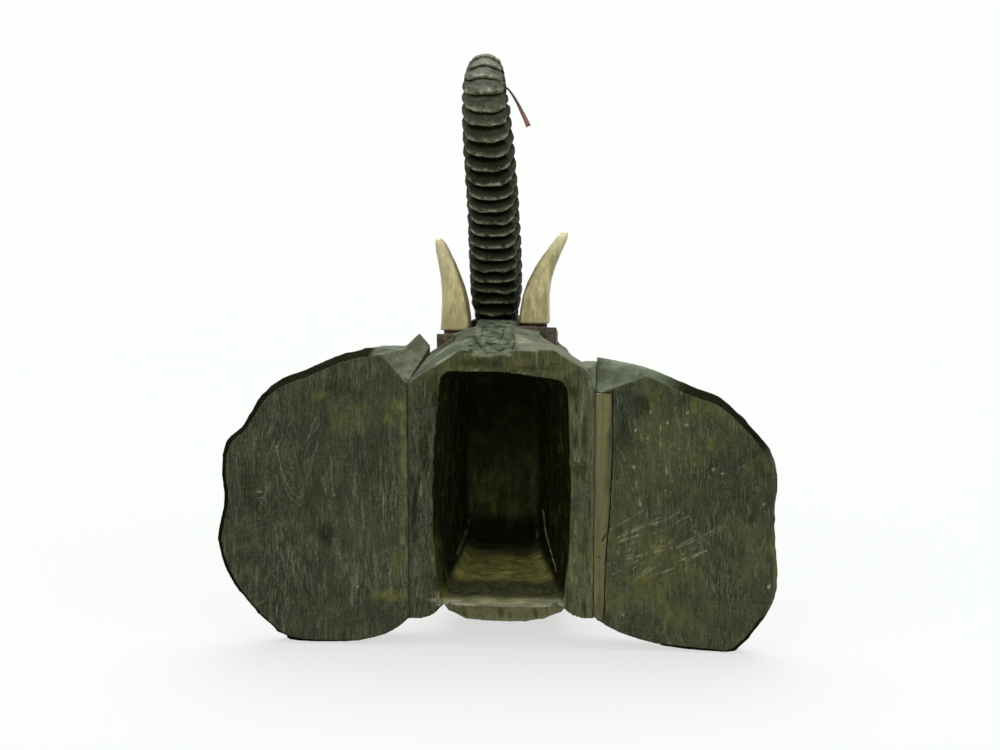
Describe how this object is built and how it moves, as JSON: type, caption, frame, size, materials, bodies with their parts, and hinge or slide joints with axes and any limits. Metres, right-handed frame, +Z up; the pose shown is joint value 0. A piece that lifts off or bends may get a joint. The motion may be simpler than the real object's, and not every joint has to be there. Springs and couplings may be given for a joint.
{
  "type": "carved wooden elephant head",
  "caption": "Hollow-backed elephant head carved in dark wood, with glued ears, a ringed trunk, pull-out tusks in lip sockets and a leather thong.",
  "frame": {"origin": "on the surface that the ears and crown rest on, under the middle of the object's box", "axes": "+Z up along the raised trunk, +Y from the flat hollow back towards the face, +X to the right seen from behind"},
  "size_m": [0.5582, 0.192, 0.581],
  "materials": {
    "dark_wood": "blackened olive-green patina over gouged wood, satin",
    "bare_wood": "bare, matt",
    "lip_wood": "stained pinkish brown, matt",
    "tusk": "pale, rubbed smooth, streaked along the grain, satin",
    "thong_leather": "worn, matt"
  },
  "bodies": {
    "root": {"head_block": "dark_wood", "left_ear": "dark_wood", "right_ear": "dark_wood", "right_joint_strip": "bare_wood", "left_ear_dowels": "bare_wood", "right_ear_dowels": "bare_wood", "trunk": "dark_wood", "trunk_dowel": "bare_wood", "left_tusk_socket": "lip_wood", "right_tusk_socket": "lip_wood", "leather_thong": "thong_leather"},
    "left_tusk": {"left_tusk": "tusk"},
    "right_tusk": {"right_tusk": "tusk"}
  },
  "joints": [
    {"name": "left_tusk_pull", "type": "slide", "parent": "root", "child": "left_tusk", "axis": [0, 0, 1], "range_m": [0, 0.024]},
    {"name": "right_tusk_pull", "type": "slide", "parent": "root", "child": "right_tusk", "axis": [0, 0, 1], "range_m": [0, 0.024]}
  ]
}
